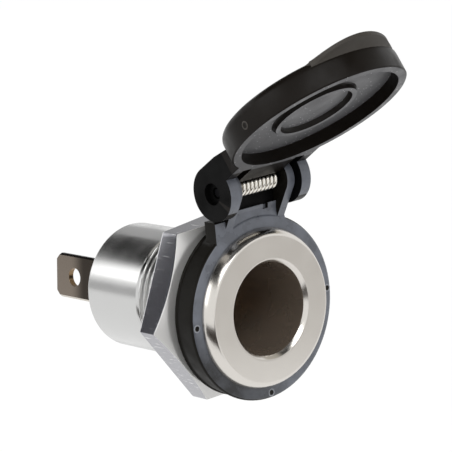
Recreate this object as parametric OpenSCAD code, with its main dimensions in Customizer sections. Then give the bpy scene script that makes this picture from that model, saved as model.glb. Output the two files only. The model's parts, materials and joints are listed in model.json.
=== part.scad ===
// Twelve-volt panel socket with a sprung lid. All lengths are in millimetres.
// The origin is the centre of the collar's rear face, where the panel bears.
// The bore opens towards -Y, the barrel runs towards +Y and the hinge is at +Z.

/* [Bore and flange] */
// Diameter of the bore that the plug enters
bore_d = 12.2; // [11.9:0.05:12.4]
// Width of the chamfer round the mouth of the bore
mouth_chamfer = 0.48; // [0.2:0.02:0.7]
// Depth of the plain bore, from the flange face to the contact holder
bore_depth = 15; // [13:0.5:18]
// Diameter of the flange
flange_d = 21.2; // [20.4:0.1:21.4]
// Height of the flange above the front of the collar
flange_t = 1.5; // [1.1:0.1:1.9]
// Radius of the flange's rounded edge
flange_round = 0.8; // [0.3:0.1:1.1]

/* [Barrel] */
// Outside diameter of the thread
thread_d = 18; // [17.6:0.1:18.4]
// Pitch of the thread
thread_pitch = 1; // [0.75:0.25:1.5]
// Length of the thread behind the collar
thread_l = 11.8; // [9:0.1:13]
// Diameter of the plain barrel behind the thread
barrel_d = 17.1; // [16.3:0.1:17.4]
// Length of the barrel behind the collar
barrel_l = 22.7; // [21:0.1:26]
// Radius of the barrel's rear edge
rear_round = 0.4; // [0.2:0.1:0.8]
// Depth of the rear seat that holds the insulator
rear_seat_l = 5; // [4.4:0.1:6]
// Wall of the barrel beside the rear seat
rear_wall = 1.15; // [0.9:0.05:1.3]
// Length of the lip that is rolled over the rear seat
rear_lip_l = 0.5; // [0.3:0.1:0.8]
// Reach of that lip towards the axis
rear_lip_reach = 0.6; // [0.4:0.1:0.8]

/* [Nut] */
// Width of the nut across its flats
nut_af = 23; // [22:0.5:25]
// Thickness of the nut
nut_t = 4; // [3:0.25:6]
// Room between collar and nut, which the panel fills
panel_gap = 2.05; // [1:0.05:4]
// Angle at which the nut stands
nut_turn = 5.6; // [0:0.2:60]
// Angle of the chamfer on the nut's front
nut_chamfer_angle = 30; // [15:1:35]

/* [Collar] */
// Diameter of the collar
collar_d = 24.4; // [23.8:0.1:24.8]
// Thickness of the collar
collar_t = 3.6; // [3.2:0.1:4]
// Radius of the collar's front edge
collar_round = 0.45; // [0.2:0.05:0.8]
// Thickness of the shoulder under the left ear
shoulder_t = 2; // [1.6:0.1:2.4]
// Height of the saddle between the lugs, above the bore axis
saddle_up = 13.5; // [13:0.05:13.8]
// Thickness of the saddle
saddle_t = 2.2; // [1.8:0.1:2.6]

/* [Hinge] */
// Height of the hinge axis above the bore axis
hinge_up = 16.5; // [16.3:0.05:17]
// Width over both ears
hinge_w = 13.8; // [13:0.1:15]
// Diameter of each ear
ear_d = 7.2; // [7:0.1:7.4]
// Thickness of each ear
ear_t = 1.6; // [1.3:0.1:2]
// Diameter of the recess over the pin's end
ear_recess_d = 2.86; // [2.4:0.02:3.2]
// Depth of that recess
ear_recess_depth = 0.8; // [0.5:0.1:1]
// Diameter of each lug's rounded top
lug_d = 4.8; // [4.4:0.1:5.2]
// Thickness of each lug
lug_t = 1.25; // [1:0.05:1.5]
// Angle at which each lug's front edge leans
lug_lean = 30; // [24:1:36]
// Diameter of the hinge pin
pin_d = 1.4; // [1.2:0.05:1.5]

/* [Lid] */
// Diameter of the lid
lid_d = 24; // [23.6:0.1:24.6]
// Height of the lid's side wall
lid_wall_h = 3.7; // [3.2:0.1:4.6]
// Rise of the domed top at its centre
lid_dome = 0.7; // [0.4:0.1:1.2]
// Radius of the top's edge
lid_round = 1.1; // [0.6:0.1:1.5]
// Width of the flat rim round the recess
rim_w = 1.2; // [1:0.05:1.25]
// Room between the recess floor and the flange face when closed
floor_gap = 0.25; // [0.15:0.05:0.6]
// Height of the round ridge on the recess floor
ridge_h = 1; // [0.5:0.1:1.1]
// Width of that ridge at its foot
ridge_w = 1.15; // [0.8:0.05:1.5]
// Room between the ridge and the bore wall
ridge_gap = 0.25; // [0.2:0.05:0.5]
// Angle at which the lid stands open
open_angle = 124; // [90:1:126]

/* [Thumb tab] */
// Radius of the tab's outline
tab_r = 8.2; // [7.5:0.1:10]
// Reach of the tab past the lid's edge
tab_reach = 1.2; // [1:0.1:2.4]
// Rise of the tab's tip above the side wall
tab_rise = 1.1; // [0.6:0.1:1.8]
// Thickness of the tab's tip
tab_t = 0.55; // [0.4:0.05:0.9]
// Height of the finger scoop's lower edge above the rim
scoop_up = 2.9; // [2.6:0.1:3.2]
// Radius that blends the tab's outline into the lid's
tab_blend = 5; // [2:0.5:8]

/* [Spring] */
// Outside diameter of the spring
spring_d = 2.63; // [2.5:0.01:2.8]
// Diameter of the spring's wire
wire_d = 0.5; // [0.4:0.02:0.54]
// Distance from one coil to the next
coil_pitch = 0.69; // [0.6:0.01:0.9]
// Length of the spring leg that stands in the saddle
fixed_leg_l = 4.1; // [3.8:0.1:4.6]
// Length of the spring leg that follows the lid
lid_leg_l = 3; // [2.6:0.05:3.2]

/* [Contacts] */
// Inside diameter of the centre contact
contact_d = 5; // [4.6:0.1:5.4]
// Wall of the centre contact
contact_wall = 0.8; // [0.6:0.05:0.9]
// Length of the contact's slotted sleeve
contact_l = 4; // [3.4:0.1:4.4]
// Width of each slot in the sleeve
slot_w = 0.6; // [0.4:0.05:0.8]
// Wire diameter of the ring that grips the sleeve
ring_wire_d = 0.7; // [0.5:0.05:0.8]
// Thickness of the contact's base
contact_base_t = 1; // [0.8:0.1:1.2]
// Thickness of the holder's floor
holder_floor = 1.5; // [1.2:0.1:2]
// Diameter of the rivet's shank
rivet_d = 2; // [1.8:0.1:2.2]
// Diameter of the rivet's head
rivet_head_d = 3.6; // [3.2:0.1:4]
// Thickness of the rivet's head
rivet_head_t = 0.7; // [0.5:0.1:0.9]
// Thickness of the washer under the rivet's tail
washer_t = 0.4; // [0.3:0.05:0.5]

/* [Terminals] */
// Width of each blade terminal
blade_w = 6.3; // [4.8:0.1:6.6]
// Thickness of the terminals
blade_t = 0.8; // [0.5:0.1:1]
// Reach of the positive blade behind the barrel
positive_l = 14.3; // [10:0.1:15]
// Reach of the negative blade behind the barrel
negative_l = 8; // [7:0.5:10]
// Distance of the positive blade from the axis
positive_off = 2.5; // [2.4:0.1:3]
// Angle by which both terminals are turned against the collar
terminal_turn = -7; // [-45:1:45]
// Diameter of the hole in each blade
blade_hole_d = 2.6; // [1.6:0.1:2.8]
// Distance of that hole from the blade's end
blade_hole_back = 4.1; // [3:0.1:4.6]
// Corner chamfer at each blade's end
blade_chamfer = 0.9; // [0.5:0.1:1.3]
// Width of the bevel round each blade's edges
blade_bevel = 0.3; // [0.1:0.05:0.35]
// Width of the negative terminal's ring
earth_ring_w = 1.5; // [1.2:0.1:1.8]

/* [Clearances] */
// Room all round a part that turns on the pin
pin_gap = 0.04; // [0.02:0.01:0.08]
// Room between the nut and the thread's crests
nut_gap = 0.05; // [0.03:0.01:0.1]
// Room beside lugs and ears
side_gap = 0.15; // [0.1:0.01:0.25]
// Room between pieces that seat on each other
seat_gap = 0.05; // [0.02:0.01:0.08]
// Room between the closed lid's rim and the collar
rim_gap = 0.1; // [0.05:0.01:0.3]
// Room round the lugs and the spring inside the lid
lug_room = 0.35; // [0.3:0.05:0.5]
// Room between the ears and the panel
panel_room = 0.05; // [0.02:0.01:0.3]
// Room between the collar's hole and the body
collar_gap = 0.1; // [0.05:0.01:0.15]
// Room round each spring leg in its hole
leg_room = 0.1; // [0.05:0.01:0.15]

/* [Hidden] */
$fn = 96;
// A small length by which cuts overrun a face
over = 1;
// Small chamfer on moulded and turned edges
edge_cut = 0.2;
// Step in the bore against which the contact holder stands
holder_step = 0.25;
// Depth of the sleeve's groove, and its distance from the sleeve's front
groove_depth = 0.3;
groove_back = 1.1;

// Levels along the bore axis, counted forward from the collar's rear face
face_z = collar_t + flange_t;
step_z = face_z - bore_depth;
rear_z = -barrel_l;
lip_z = rear_z + rear_lip_l;
seat_z = rear_z + rear_seat_l;
rim_z = collar_t + rim_gap;
floor_z = face_z + floor_gap;
wall_top_z = rim_z + lid_wall_h;

// Radii
bore_r = bore_d / 2;
thread_r = thread_d / 2;
barrel_r = barrel_d / 2;
flange_r = flange_d / 2;
collar_r = collar_d / 2;
lid_r = lid_d / 2;
recess_r = lid_r - rim_w;
// The collar's hole, and the radius inside the lid at which tab and arms are rooted
collar_hole_r = thread_r + collar_gap;
root_r = lid_r * 0.6;
rear_seat_r = barrel_r - rear_wall;
rear_mouth_r = rear_seat_r - rear_lip_reach;
holder_seat_r = bore_r + holder_step;
thread_depth = thread_pitch * 0.6134;

// Hinge, whose ears end level with the collar's rear face. Widths run from the middle outwards
ear_r = ear_d / 2;
hinge_front = ear_r + panel_room;
shoulder_up = hinge_up - ear_r - side_gap;
ear_in_x = hinge_w / 2 - ear_t;
lug_out_x = ear_in_x - side_gap;
lug_in_x = lug_out_x - lug_t;
bridge_x = lug_in_x - side_gap;
lug_r = lug_d / 2;
pin_hole_r = pin_d / 2 + pin_gap;
coil_r = (spring_d - wire_d) / 2;
coil_count = floor((2 * bridge_x - wire_d) / coil_pitch);
coil_span = coil_count * coil_pitch;
spring_room_r = spring_d / 2 + lug_room;

// Levels of the inner contact stack, front to back
holder_front_z = step_z - seat_gap;
holder_rear_z = seat_z;
holder_floor_z = holder_rear_z + holder_floor;
contact_rear_z = holder_floor_z + seat_gap;
contact_base_z = contact_rear_z + contact_base_t;
contact_front_z = contact_base_z + contact_l;
ring_z = contact_front_z - groove_back;
insulator_front_z = seat_z - seat_gap;
terminal_rear_z = lip_z + seat_gap;
terminal_front_z = terminal_rear_z + blade_t;
insulator_rear_z = terminal_front_z + seat_gap;
washer_front_z = terminal_rear_z - seat_gap;
washer_rear_z = washer_front_z - washer_t;
tail_front_z = washer_rear_z - seat_gap;
contact_r = contact_d / 2 + contact_wall;
groove_r = contact_r - groove_depth;
rivet_hole_r = rivet_d / 2 + seat_gap;
// The negative blade stands as far out as its width lets it pass the rolled lip
negative_off = sqrt(pow(rear_mouth_r - side_gap, 2) - pow(blade_w / 2, 2)) - blade_t / 2;

// Turns a shape drawn with x right, y up and z out of the bore into the part's frame
module bore_frame() {
    rotate([90, 0, 0]) children();
}

// Points of an arc from angle a0 to angle a1
function arc(cx, cy, r, a0, a1, n = 8) = [
    for (i = [0 : n]) [cx + r * cos(a0 + (a1 - a0) * i / n), cy + r * sin(a0 + (a1 - a0) * i / n)]
];

// Points of a shallow arc between two points, bulging to the left by sag
function bow(p, q, sag, n = 8) = [
    for (i = [0 : n])
        let (t = i / n, d = q - p, s = 4 * sag * t * (1 - t) / norm(d))
            [p[0] + d[0] * t - d[1] * s, p[1] + d[1] * t + d[0] * s]
];

// A round rod along x, centred on the hinge axis
module hinge_rod(r, half_w, from = undef) {
    start = from == undef ? -half_w : from;
    translate([start, hinge_up, hinge_front])
        rotate([0, 90, 0]) cylinder(r = r, h = half_w - start);
}

// A flat shape drawn as (up, front) points, given a width along x
module side_slab(x0, x1) {
    translate([x0, 0, 0])
        multmatrix([[0, 0, 1, 0], [1, 0, 0, 0], [0, 1, 0, 0], [0, 0, 0, 1]])
            linear_extrude(height = x1 - x0) children();
}

// Turned body: flange, bore, thread blank, barrel and the rolled rear seat
module socket_body() {
    color("gainsboro") bore_frame() rotate_extrude() polygon(concat(
        [[rear_mouth_r, rear_z]],
        arc(barrel_r - rear_round, rear_z + rear_round, rear_round, -90, 0, 5),
        [
            [barrel_r, -thread_l - (thread_r - barrel_r)],
            [thread_r, -thread_l],
            [thread_r, collar_t],
            [flange_r, collar_t]
        ],
        arc(flange_r - flange_round, face_z - flange_round, flange_round, 0, 90, 6),
        [
            [bore_r + mouth_chamfer, face_z],
            [bore_r, face_z - mouth_chamfer],
            [bore_r, step_z],
            [holder_seat_r, step_z],
            [holder_seat_r, seat_z],
            [rear_seat_r, seat_z],
            [rear_seat_r, lip_z],
            [rear_mouth_r, lip_z]
        ]
    ));
}

// Thin hexagon nut, chamfered on the side that bears on the panel
module hex_nut() {
    front = -panel_gap;
    flat_r = nut_af / 2 - 0.05;
    corner_r = nut_af / 2 / cos(30);
    fall = (corner_r + over - flat_r) * tan(nut_chamfer_angle);
    hole_r = thread_r + nut_gap;
    lead = thread_depth * 0.6;
    color("silver") bore_frame() difference() {
        intersection() {
            translate([0, 0, front - nut_t]) rotate([0, 0, nut_turn])
                cylinder(r = corner_r, h = nut_t, $fn = 6);
            rotate_extrude() polygon([
                [0, front - nut_t - over],
                [corner_r + over, front - nut_t - over],
                [corner_r + over, front - fall],
                [flat_r, front],
                [0, front]
            ]);
        }
        rotate_extrude() polygon([
            [0, front - nut_t - over],
            [hole_r + lead, front - nut_t - over],
            [hole_r + lead, front - nut_t],
            [hole_r, front - nut_t + lead],
            [hole_r, front - lead],
            [hole_r + lead, front],
            [hole_r + lead, front + over],
            [0, front + over]
        ]);
    }
}

// Outline of a lug seen from the side: a round top on a neck whose front edge leans back.
// The slots in the lid are the same outline grown by their room
module lug_outline(grow = 0) {
    r = lug_r + grow;
    nose = [hinge_up - r * sin(lug_lean), hinge_front + r * cos(lug_lean)];
    foot = nose - (nose[1] - collar_t + 0.25) * [1 / tan(lug_lean), 1];
    translate([hinge_up, hinge_front]) circle(r = r);
    polygon([
        [foot[0] - 1, hinge_front - r],
        [foot[0] - 1, foot[1]],
        foot,
        nose,
        [hinge_up, hinge_front],
        [hinge_up, hinge_front - r]
    ]);
}

// Saddle between the lugs: the collar's front carried up, with a slight hollow
module saddle() {
    side_slab(-lug_out_x, lug_out_x) polygon(concat(
        [[thread_r + 0.3, collar_t - saddle_t], [thread_r + 0.3, collar_t]],
        bow([flange_r + 0.2, collar_t], [saddle_up, collar_t - 0.15], -0.18, 6),
        [[saddle_up, collar_t - saddle_t]]
    ));
}

// Moulded collar: ring, shoulders, saddle and the two lugs that carry the pin
module hinge_collar() {
    notch_x = 1.6;
    notch_w = 0.9;
    notch_depth = 0.7;
    color("dimgray") bore_frame() difference() {
        union() {
            rotate_extrude() polygon(concat(
                [[collar_hole_r, 0], [collar_r - edge_cut, 0], [collar_r, edge_cut]],
                arc(collar_r - collar_round, collar_t - collar_round, collar_round, 0, 90, 5),
                [[collar_hole_r, collar_t]]
            ));
            for (from = [-lug_out_x, lug_in_x])
                side_slab(from, from + lug_t) lug_outline();
            // Shoulder under the left ear, which stops against the lug beside it
            side_slab(-hinge_w / 2, -lug_in_x) polygon([
                [thread_r, collar_t - shoulder_t],
                [shoulder_up, collar_t - shoulder_t],
                [shoulder_up, collar_t - edge_cut],
                [shoulder_up - edge_cut, collar_t],
                [thread_r, collar_t]
            ]);
            saddle();
        }
        // The ring's hole stays clear of the roots of all these
        translate([0, 0, -over]) cylinder(r = collar_hole_r, h = collar_t + 2 * over);
        // Seat of the hinge pin in both lugs
        hinge_rod(pin_hole_r, hinge_w);
        // Hole that takes the spring's fixed leg
        translate([coil_span / 2, hinge_up, hinge_front - coil_r]) rotate([90, 0, 0])
            cylinder(d = wire_d + 2 * leg_room, h = fixed_leg_l + 2 * leg_room, $fn = 32);
        // Small notch in the saddle's top edge
        translate([notch_x, saddle_up - notch_depth, collar_t - notch_depth]) cube([notch_w, over, over]);
    }
}

// Fillet between two outside circles: the corner that a disc of radius f leaves
module circle_blend(r1, r2, apart, f) {
    a = r1 + f;
    b = r2 + f;
    cx = (a * a - b * b + apart * apart) / (2 * apart);
    cy = sqrt(a * a - cx * cx);
    for (side = [-1, 1]) difference() {
        polygon([[0, 0], [cx, side * cy], [apart, 0]]);
        translate([cx, side * cy]) circle(r = f);
    }
}

// Plan outline of the lid with its tab, which points down in the closed position
module tab_outline() {
    tab_y = lid_r + tab_reach - tab_r;
    rotate(-90) {
        translate([tab_y, 0]) circle(r = tab_r);
        circle_blend(lid_r, tab_r, tab_y, tab_blend);
    }
}

// Section of the turned lid: floor with its ridge, recess, rim, side wall and dome
module lid_section() {
    ridge_r = bore_r - ridge_gap;
    flat = lid_r - lid_round;
    draft = 0.25;
    rim_cut = 0.15;
    polygon(concat(
        [
            [0, floor_z],
            [ridge_r - ridge_w, floor_z],
            [ridge_r - ridge_w + draft, floor_z - ridge_h],
            [ridge_r - draft, floor_z - ridge_h],
            [ridge_r, floor_z],
            [recess_r, floor_z],
            [recess_r, rim_z],
            [lid_r - rim_cut, rim_z],
            [lid_r, rim_z + rim_cut]
        ],
        arc(flat, wall_top_z - lid_round, lid_round, 0, 84, 6),
        [for (i = [1 : 8]) let (r = flat * (1 - i / 8)) [r, wall_top_z + lid_dome * (1 - r * r / flat / flat)]]
    ));
}

// Thumb tab: a thin lip past the lid's edge, with a scoop turned into its underside for the
// finger and a top that rises straight towards the tip
module thumb_tab() {
    tip = lid_r + tab_reach + over;
    tip_top = wall_top_z + tab_rise;
    intersection() {
        rotate_extrude() polygon(concat(
            [[root_r, floor_z + 1], [lid_r - 0.4, rim_z + scoop_up - 0.6]],
            bow([lid_r - 0.05, rim_z + scoop_up], [tip, tip_top - tab_t], 0.25, 8),
            [[tip, tip_top + over], [root_r, tip_top + over]]
        ));
        side_slab(-tab_r, tab_r) polygon(concat(
            bow([-tip, tip_top], [-root_r, wall_top_z - 0.4], -0.25, 8),
            [[-root_r, rim_z], [-tip, rim_z]]
        ));
        translate([0, 0, rim_z]) linear_extrude(height = 3 * lid_wall_h) tab_outline();
    }
}

// Side outline of the arms and the bridge between them, which join the ears to the lid
module arm_outline() {
    top = hinge_front + ear_r;
    polygon([
        [root_r, rim_z],
        [hinge_up + 0.6, rim_z],
        [hinge_up + 0.6, top - 0.05],
        [hinge_up, top],
        [hinge_up - ear_r, top - 0.1],
        [lid_r * 0.8, top - 0.6],
        [root_r, top - 0.8]
    ]);
}

// Lid in its closed position
module lid_closed() {
    difference() {
        union() {
            rotate_extrude() lid_section();
            thumb_tab();
            difference() {
                side_slab(-hinge_w / 2, hinge_w / 2) arm_outline();
                translate([0, 0, rim_z - over]) cylinder(r = recess_r, h = floor_z - rim_z + over);
            }
            for (from = [-hinge_w / 2, ear_in_x])
                hinge_rod(ear_r, from + ear_t, from);
        }
        // Slots for the lugs, and room round the spring between them
        for (from = [-ear_in_x, bridge_x])
            side_slab(from, from + ear_in_x - bridge_x) lug_outline(lug_room);
        hinge_rod(spring_room_r, ear_in_x);
        hinge_rod(pin_hole_r, hinge_w);
        // Recess over each end of the pin
        for (side = [-1, 1])
            hinge_rod(ear_recess_d / 2,
                side > 0 ? hinge_w : -hinge_w / 2 + ear_recess_depth,
                side > 0 ? hinge_w / 2 - ear_recess_depth : -hinge_w);
    }
}

// Lid, turned about the hinge to the angle at which it stands open
module lid() {
    color("black") bore_frame() difference() {
        translate([0, hinge_up, hinge_front]) rotate([-open_angle, 0, 0])
            translate([0, -hinge_up, -hinge_front]) lid_closed();
        // Hole that takes the end of the spring's lid leg
        translate([-coil_span / 2, hinge_up, hinge_front - coil_r]) rotate([-90, 0, 0])
            cylinder(d = wire_d + 2 * leg_room, h = lid_leg_l + 2 * leg_room, $fn = 32);
    }
}

// Plain pin with a small chamfer at both ends
module hinge_pin() {
    end_x = hinge_w / 2 - ear_recess_depth - side_gap;
    bevel = 0.15;
    r = pin_d / 2;
    color("gray") bore_frame() translate([0, hinge_up, hinge_front]) rotate([0, 90, 0])
        rotate_extrude() polygon([
            [0, -end_x],
            [r - bevel, -end_x],
            [r, -end_x + bevel],
            [r, end_x - bevel],
            [r - bevel, end_x],
            [0, end_x]
        ]);
}

// Wire path of the spring: fixed leg, coils and lid leg, as (x, up, front) from the hinge axis
function coil_point(a) = [coil_span / 2 - coil_pitch * a / 360, coil_r * sin(a), -coil_r * cos(a)];
function spring_path(steps = 16) = concat(
    [for (s = [fixed_leg_l, fixed_leg_l / 2]) coil_point(0) - [0, s, 0]],
    [for (i = [0 : steps * coil_count]) coil_point(360 * i / steps)],
    [for (s = [lid_leg_l / 2, lid_leg_l]) coil_point(360 * coil_count) + [0, s, 0]]
);

// Tube of round section along a list of points that never run along x
module wire_along(path, d, sides = 8) {
    n = len(path);
    tangents = [for (i = [0 : n - 1])
        let (v = path[min(i + 1, n - 1)] - path[max(i - 1, 0)]) v / norm(v)];
    rings = [for (i = [0 : n - 1])
        let (u = cross(tangents[i], [1, 0, 0]), e = u / norm(u), f = cross(tangents[i], e))
            for (k = [0 : sides - 1])
                path[i] + d / 2 * (e * cos(360 * k / sides) + f * sin(360 * k / sides))];
    quads = [for (i = [0 : n - 2], k = [0 : sides - 1])
        [i * sides + k, (i + 1) * sides + k, (i + 1) * sides + (k + 1) % sides, i * sides + (k + 1) % sides]];
    first = [for (k = [0 : sides - 1]) k];
    last = [for (k = [0 : sides - 1]) n * sides - 1 - k];
    polyhedron(points = rings, faces = concat(quads, [first, last]), convexity = 10);
}

// Torsion spring round the pin
module lid_spring() {
    color("oldlace") bore_frame() translate([0, hinge_up, hinge_front])
        wire_along(spring_path(), wire_d);
}

// Moulded cup that keeps the centre contact off the body
module contact_holder() {
    r = holder_seat_r - seat_gap;
    pocket_r = contact_r + ring_wire_d + 0.3;
    color("saddlebrown") bore_frame() rotate_extrude() polygon([
        [rivet_hole_r, holder_rear_z],
        [r, holder_rear_z],
        [r, holder_front_z],
        [pocket_r + 0.5, holder_front_z],
        [pocket_r, holder_front_z - 0.8],
        [pocket_r, holder_floor_z],
        [rivet_hole_r, holder_floor_z]
    ]);
}

// Disc that closes the rear of the barrel and carries the terminals
module rear_insulator() {
    r = rear_seat_r - seat_gap;
    color("darkslategray") bore_frame() rotate_extrude() polygon([
        [rivet_hole_r, insulator_rear_z],
        [r - edge_cut, insulator_rear_z],
        [r, insulator_rear_z + edge_cut],
        [r, insulator_front_z],
        [rivet_hole_r, insulator_front_z]
    ]);
}

// Slotted sleeve that takes the plug's centre pin
module center_contact() {
    slit_count = 2;
    lead = 0.4;
    color("gold") bore_frame() difference() {
        rotate_extrude() polygon([
            [rivet_hole_r, contact_rear_z],
            [contact_r, contact_rear_z],
            [contact_r, ring_z - ring_wire_d / 2],
            [groove_r, ring_z - ring_wire_d / 2],
            [groove_r, ring_z + ring_wire_d / 2],
            [contact_r, ring_z + ring_wire_d / 2],
            [contact_r, contact_front_z - edge_cut],
            [contact_r - edge_cut, contact_front_z],
            [contact_d / 2 + edge_cut, contact_front_z],
            [contact_d / 2, contact_front_z - lead],
            [contact_d / 2, contact_base_z],
            [rivet_hole_r, contact_base_z]
        ]);
        for (i = [0 : slit_count - 1])
            rotate([0, 0, 45 + 180 * i / slit_count])
                translate([-contact_r - over, -slot_w / 2, contact_base_z + slot_w])
                    cube([2 * (contact_r + over), slot_w, contact_l + over]);
    }
}

// Open wire ring in the sleeve's groove
module contact_clip_ring() {
    gap_angle = 40;
    slack = 0.02;
    color("silver") bore_frame() translate([0, 0, ring_z]) rotate([0, 0, gap_angle / 2])
        rotate_extrude(angle = 360 - gap_angle)
            translate([groove_r + ring_wire_d / 2, 0]) circle(d = ring_wire_d - 2 * slack, $fn = 24);
}

// Rivet that clamps contact, holder, insulator and positive terminal
module center_rivet() {
    r = rivet_d / 2;
    head_r = rivet_head_d / 2;
    head_z = contact_base_z + seat_gap;
    color("silver") bore_frame() rotate_extrude() polygon(concat(
        [
            [0, tail_front_z - rivet_head_t],
            [head_r * 0.6, tail_front_z - rivet_head_t],
            [head_r * 0.85, tail_front_z],
            [r, tail_front_z],
            [r, head_z],
            [head_r, head_z]
        ],
        [for (i = [1 : 5]) let (t = 90 * i / 5) [head_r * cos(t), head_z + rivet_head_t * sin(t)]]
    ));
}

// Washer under the rivet's tail
module rivet_washer() {
    color("silver") bore_frame() translate([0, 0, washer_rear_z]) difference() {
        cylinder(r = rivet_head_d / 2 + 0.2, h = washer_t);
        translate([0, 0, -over]) cylinder(r = rivet_hole_r, h = washer_t + 2 * over);
    }
}

// Blade seen flat, as (up, back) points from the bend to its end, with a hole and cut corners
module blade(x, front, rear) {
    half = blade_w / 2;
    b = blade_bevel;
    translate([x - blade_t / 2, 0, 0]) difference() {
        translate([0, 0, rear]) {
            intersection() {
                side_slab(0, blade_t) polygon([
                    [-half, front - rear],
                    [-half, blade_chamfer],
                    [-half + blade_chamfer, 0],
                    [half - blade_chamfer, 0],
                    [half, blade_chamfer],
                    [half, front - rear]
                ]);
                linear_extrude(height = front - rear) polygon([
                    [0, -half + b],
                    [blade_t * 0.25, -half],
                    [blade_t * 0.75, -half],
                    [blade_t, -half + b],
                    [blade_t, half - b],
                    [blade_t * 0.75, half],
                    [blade_t * 0.25, half],
                    [0, half - b]
                ]);
            }
        }
        translate([-over, 0, rear + blade_hole_back]) rotate([0, 90, 0])
            cylinder(d = blade_hole_d, h = blade_t + 2 * over);
    }
}

// Positive terminal: a foot under the rivet and a blade bent backwards
module positive_terminal() {
    foot_x = -positive_off - blade_t / 2;
    color("tan") bore_frame() rotate([0, 0, terminal_turn]) {
        blade(-positive_off, terminal_front_z, rear_z - positive_l);
        difference() {
            translate([foot_x + blade_t * 0.25, -blade_w / 2 + blade_bevel, terminal_rear_z])
                cube([rivet_head_d / 2 + 0.6 - foot_x, blade_w - 2 * blade_bevel, blade_t]);
            translate([0, 0, terminal_rear_z - over]) cylinder(r = rivet_hole_r, h = blade_t + 2 * over);
        }
    }
}

// Negative terminal: a ring that bears on the body's lip and a blade bent backwards
module negative_terminal() {
    ring_r = rear_seat_r - seat_gap;
    color("tan") bore_frame() rotate([0, 0, terminal_turn]) {
        blade(negative_off, terminal_front_z, rear_z - negative_l);
        translate([0, 0, terminal_rear_z]) difference() {
            cylinder(r = ring_r, h = blade_t);
            difference() {
                translate([0, 0, -over]) cylinder(r = ring_r - earth_ring_w, h = blade_t + 2 * over);
                translate([negative_off - blade_t / 4, -blade_w / 2 + blade_bevel, -2 * over])
                    cube([ring_r, blade_w - 2 * blade_bevel, blade_t + 4 * over]);
            }
        }
    }
}

socket_body();
hex_nut();
hinge_collar();
lid();
hinge_pin();
lid_spring();
contact_holder();
rear_insulator();
center_contact();
contact_clip_ring();
center_rivet();
rivet_washer();
positive_terminal();
negative_terminal();
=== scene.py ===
import json
import math

import bmesh
import bpy
import numpy as np
from mathutils import Matrix, Vector


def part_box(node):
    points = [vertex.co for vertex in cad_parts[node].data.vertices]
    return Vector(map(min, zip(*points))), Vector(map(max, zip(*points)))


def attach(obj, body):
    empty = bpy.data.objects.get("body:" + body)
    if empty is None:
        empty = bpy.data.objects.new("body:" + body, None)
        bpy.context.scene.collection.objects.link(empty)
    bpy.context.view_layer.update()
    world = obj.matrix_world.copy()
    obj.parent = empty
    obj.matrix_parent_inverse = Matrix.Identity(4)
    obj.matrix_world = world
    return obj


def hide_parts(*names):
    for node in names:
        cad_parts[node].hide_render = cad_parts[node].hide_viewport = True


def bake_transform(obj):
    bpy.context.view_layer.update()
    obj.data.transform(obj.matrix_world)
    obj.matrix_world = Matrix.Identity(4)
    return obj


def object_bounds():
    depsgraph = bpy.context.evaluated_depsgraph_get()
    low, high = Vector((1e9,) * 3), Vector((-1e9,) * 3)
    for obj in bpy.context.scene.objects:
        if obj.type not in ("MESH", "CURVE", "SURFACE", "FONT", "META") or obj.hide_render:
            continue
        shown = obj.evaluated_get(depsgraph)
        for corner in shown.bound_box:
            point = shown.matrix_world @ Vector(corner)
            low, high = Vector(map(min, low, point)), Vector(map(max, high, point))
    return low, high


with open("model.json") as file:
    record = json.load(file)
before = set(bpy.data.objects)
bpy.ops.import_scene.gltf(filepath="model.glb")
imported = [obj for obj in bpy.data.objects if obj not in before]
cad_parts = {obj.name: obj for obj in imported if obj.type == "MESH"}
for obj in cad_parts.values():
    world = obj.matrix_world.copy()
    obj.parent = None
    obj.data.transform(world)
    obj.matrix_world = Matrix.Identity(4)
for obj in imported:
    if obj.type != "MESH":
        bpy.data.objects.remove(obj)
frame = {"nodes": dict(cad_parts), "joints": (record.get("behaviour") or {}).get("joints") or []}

# Twelve-volt panel socket with a sprung lid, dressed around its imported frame.
# The bore opens towards -Y and the hinge is at +Z. Sizes in the dictionaries are in millimetres and
# degrees, and a name that ends in Tilt is how far a face's normal has to lean along a direction
mm = 0.001
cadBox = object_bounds()
nodes = frame["nodes"]
print("frame loaded:", len(nodes), "nodes")


# Helpers for shapes

meshSettings = {"arcStep": 18.0, "weld": 0.0001, "crease": 32.0, "nodeWeld": 0.002, "nodeFlat": 0.4,
                "nodeCrease": 28.0, "bevelSegments": 2}


# A corner of radius r between two straight runs becomes an arc: it starts and ends where a circle
# of that radius touches both runs, and its points are spread evenly by angle
def roundedLine(corners, closed=False):
    points = []
    count = len(corners)
    for i, (x, y, r) in enumerate(corners):
        here = np.array([x, y], float)
        if r <= 0 or (not closed and i in (0, count - 1)):
            points.append(here)
            continue
        back = np.array(corners[i - 1][:2], float) - here
        ahead = np.array(corners[(i + 1) % count][:2], float) - here
        back /= np.linalg.norm(back)
        ahead /= np.linalg.norm(ahead)
        half = math.acos(np.clip(back @ ahead, -1, 1)) / 2
        middle = here + (back + ahead) / np.linalg.norm(back + ahead) * r / math.sin(half)
        start = here + back * r / math.tan(half) - middle
        turn = math.pi - 2 * half
        sign = 1 if start[0] * (-back[1]) - start[1] * (-back[0]) > 0 else -1
        steps = max(2, round(turn / math.radians(meshSettings["arcStep"])))
        for t in np.linspace(0, turn * sign, steps + 1):
            c, s = math.cos(t), math.sin(t)
            points.append(middle + np.array([start[0] * c - start[1] * s, start[0] * s + start[1] * c]))
    return np.array(points)


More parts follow.
